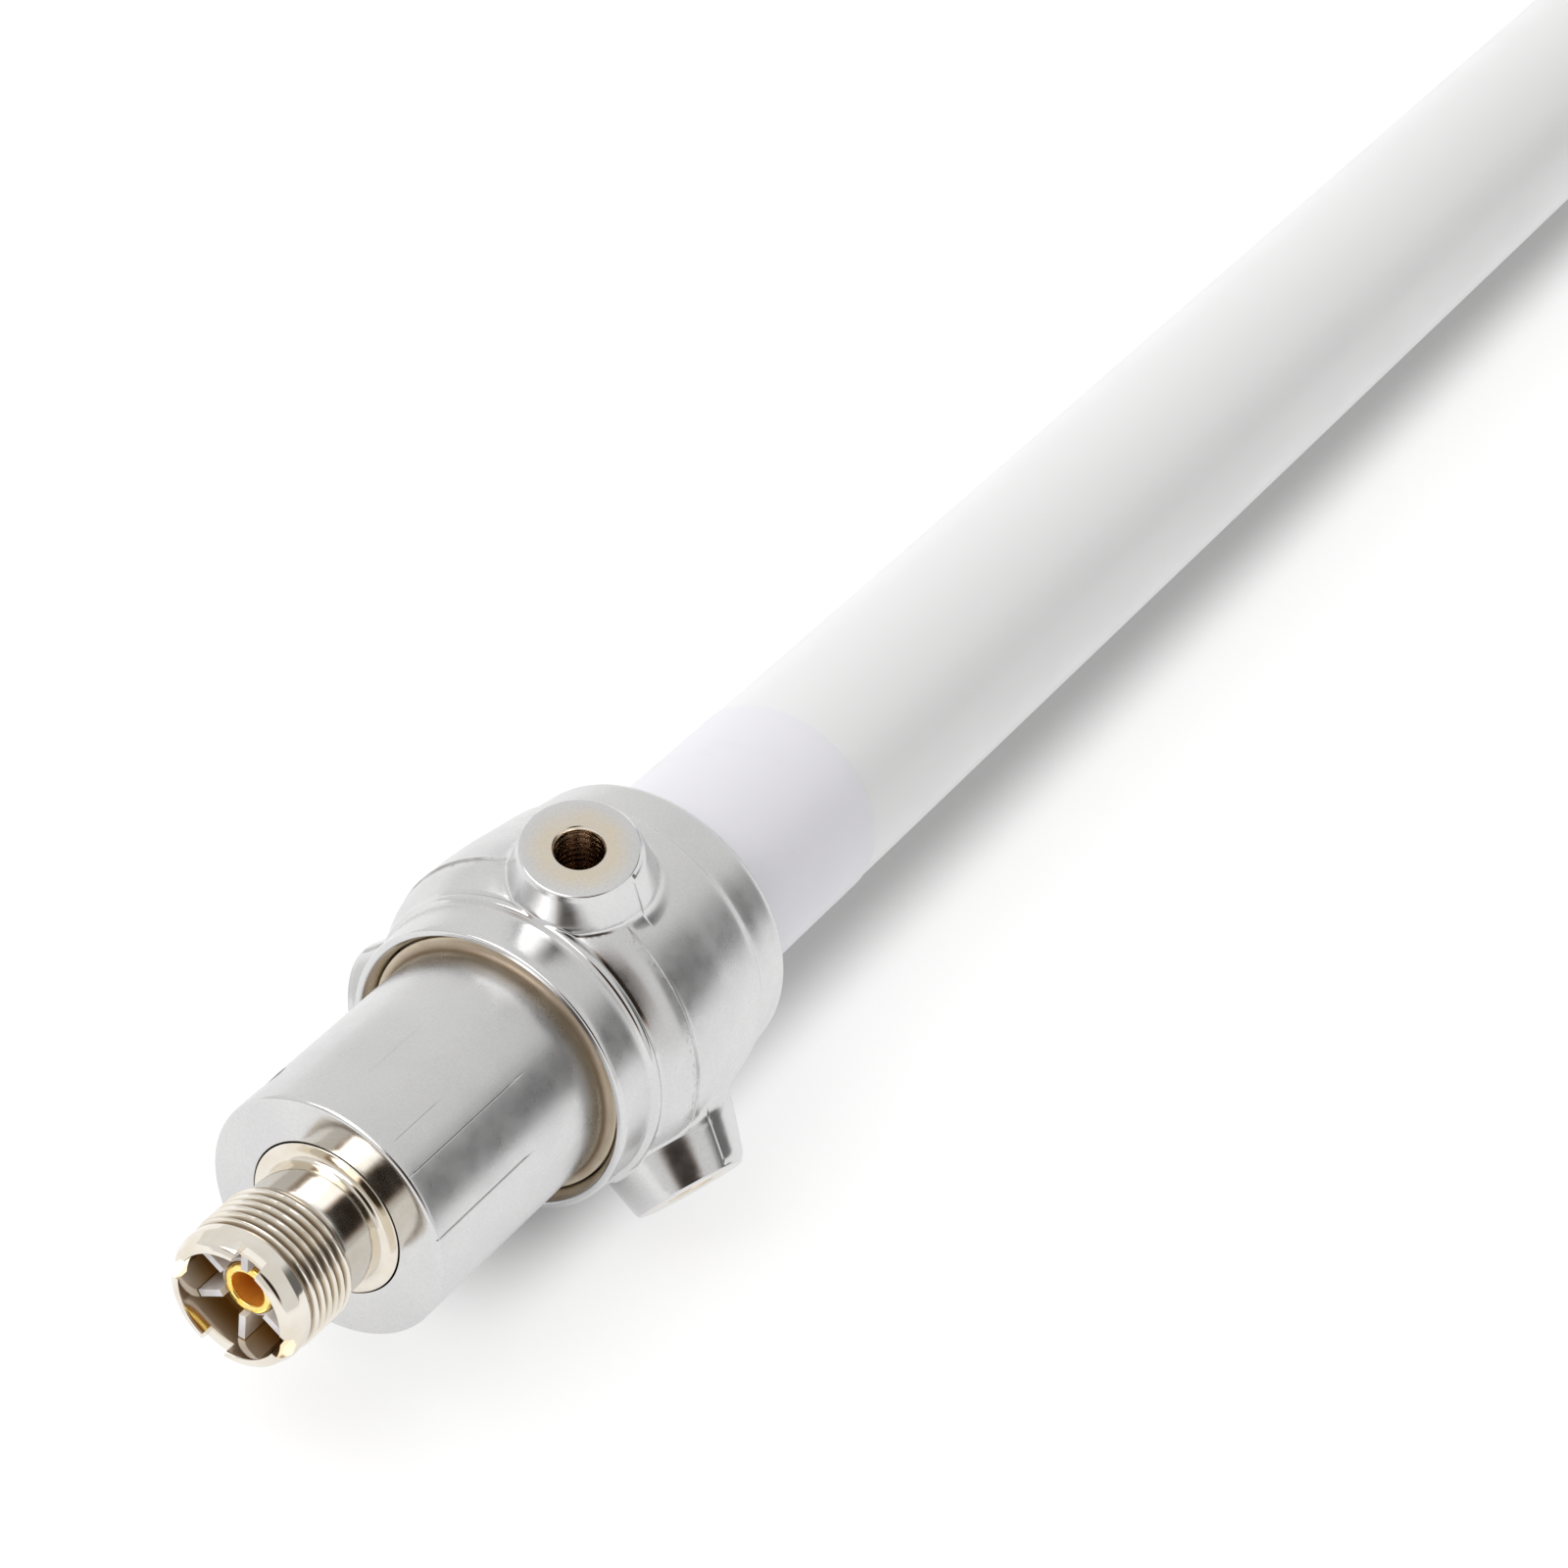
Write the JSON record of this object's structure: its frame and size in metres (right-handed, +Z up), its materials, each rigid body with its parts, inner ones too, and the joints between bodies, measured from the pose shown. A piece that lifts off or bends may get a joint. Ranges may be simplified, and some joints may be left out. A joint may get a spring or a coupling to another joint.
{
  "type": "omnidirectional base-station antenna",
  "caption": "Fibreglass collinear antenna with a chromed base sleeve, a ring with bosses for ground radials, and a threaded UHF socket.",
  "frame": {"origin": "on the surface the antenna lies on, under its axis at half its overall length", "axes": "+X along the antenna's axis from the socket to the tip, +Z up through the first radial boss"},
  "size_m": [1.3, 0.0486, 0.0454],
  "materials": {
    "nickel": "bright nickel plate over brass, warm tint",
    "gold": "gold plate",
    "dielectric": "ivory moulded dielectric",
    "chrome": "satin chrome over a zinc casting, polished on edges and end faces",
    "fibreglass": "white painted fibreglass tube, semi-gloss",
    "film": "blank adhesive film, faint lavender",
    "cap_plastic": "white moulded plastic",
    "rubber": "dark rubber",
    "steel": "zinc-plated steel",
    "laminate": "circuit board laminate",
    "copper": "enamelled copper wire",
    "brass": "drawn brass rod",
    "ceramic": "dipped ceramic",
    "acetal": "white acetal",
    "foam": "closed-cell foam"
  },
  "bodies": {
    "root": {"connector_shell": "nickel", "connector_insulator": "dielectric", "connector_contact": "gold", "connector_gasket": "rubber", "ground_washer": "steel", "connector_nut": "nickel", "base_sleeve": "chrome", "radial_ring": "chrome", "radome_seal": "rubber", "radome_tube": "fibreglass", "label_film": "film", "top_cap": "cap_plastic", "matching_board": "laminate", "matching_coil": "copper", "matching_capacitor": "ceramic", "feed_wire": "copper", "radiator_bushing": "acetal", "radiator_lower": "brass", "radiator_upper": "brass", "phasing_former": "acetal", "phasing_coil": "copper", "centring_spacer_1": "foam", "centring_spacer_2": "foam", "centring_spacer_3": "foam", "centring_spacer_4": "foam", "tip_cushion": "foam"}
  },
  "joints": []
}
